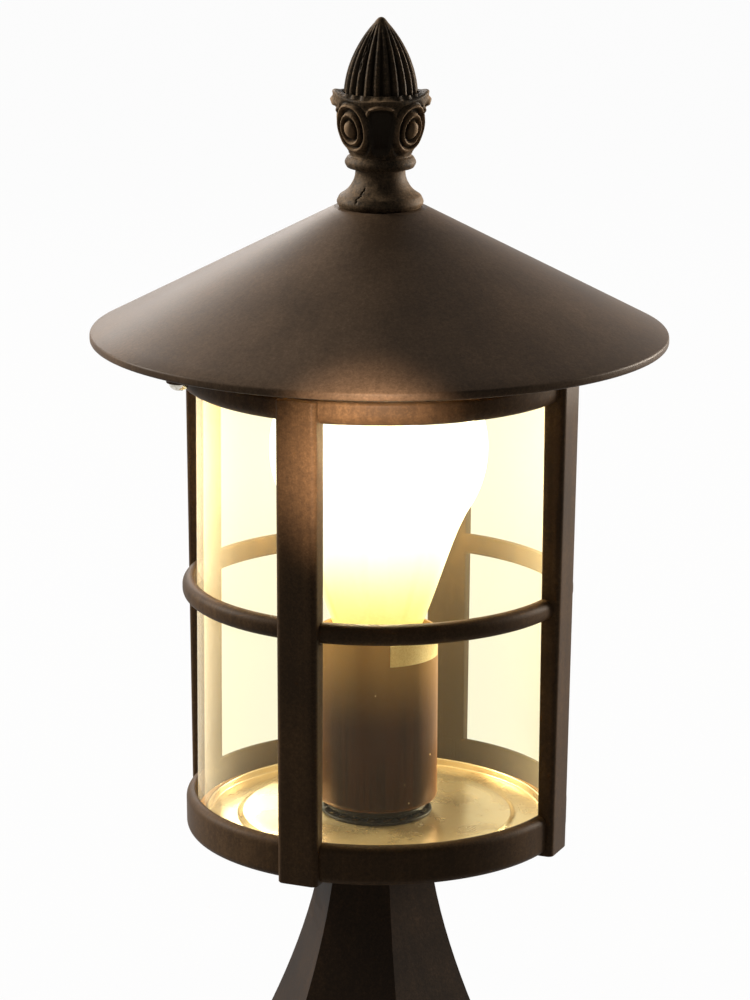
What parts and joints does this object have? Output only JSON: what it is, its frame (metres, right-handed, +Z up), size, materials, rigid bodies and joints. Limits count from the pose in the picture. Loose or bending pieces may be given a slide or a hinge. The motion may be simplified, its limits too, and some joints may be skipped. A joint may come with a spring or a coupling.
{
  "type": "pier-top lantern",
  "caption": "Outdoor lantern for the top of a boundary wall: six-sided flared foot, round four-bar cage with glass tube, screw-cap lamp, conical roof and bud finial.",
  "frame": {"origin": "middle of the foot's underside, where it stands on the wall", "axes": "+Z up along the lantern's axis, X through the two roof screws; the cage's windows face X and Y"},
  "size_m": [0.21, 0.21, 0.3984],
  "materials": {
    "antique_paint": "satin, brown-black antique finish with faint brush streaks",
    "finial_paint": "matt, darker antique finish in the carving",
    "tray_metal": "satin, warm",
    "gasket_rubber": "pale translucent amber",
    "clear_glass": "clear and polished",
    "bright_steel": "bright zinc plate",
    "black_plastic": "matt black moulding",
    "bronzed_brass": "brown bronzed finish, drawn lengthways",
    "cream_paper": "plain cream label",
    "white_porcelain": "white glaze",
    "yellow_brass": "bare brass",
    "bulb_glass": "clear blown glass",
    "cap_nickel": "nickel-plated screw cap",
    "black_glass": "glossy black insulator",
    "hot_filament": "tungsten wire, lit",
    "white_plastic": "white moulding",
    "brown_insulation": "wire covering",
    "blue_insulation": "wire covering",
    "green_insulation": "wire covering"
  },
  "bodies": {
    "root": {"foot": "antique_paint", "cage": "antique_paint", "roof": "antique_paint", "finial": "finial_paint", "base_tray": "tray_metal", "glass_gasket": "gasket_rubber", "glass_top_gasket": "gasket_rubber", "glass_tube": "clear_glass", "roof_screws": "bright_steel", "finial_stud": "bright_steel", "finial_washer": "bright_steel", "finial_nut": "bright_steel", "threaded_rod": "bright_steel", "rod_lower_washer": "bright_steel", "rod_lower_nut": "bright_steel", "star_washer": "bright_steel", "fibre_washer": "black_plastic", "rod_upper_nut": "bright_steel", "sleeve_seat": "black_plastic", "cover_sleeve": "bronzed_brass", "sleeve_label": "cream_paper", "lampholder_cap": "black_plastic", "lampholder_body": "white_porcelain", "lampholder_shell": "yellow_brass", "lampholder_contact": "yellow_brass", "lampholder_terminals": "yellow_brass", "bulb_globe": "bulb_glass", "bulb_cap": "cap_nickel", "bulb_insulator": "black_glass", "bulb_contact": "cap_nickel", "bulb_stem": "bulb_glass", "bulb_leads": "bright_steel", "bulb_filament": "hot_filament", "terminal_bracket": "bright_steel", "terminal_block": "white_plastic", "terminal_screws": "yellow_brass", "earth_screw": "yellow_brass", "wire_live": "brown_insulation", "wire_neutral": "blue_insulation", "wire_earth": "green_insulation"}
  },
  "joints": []
}
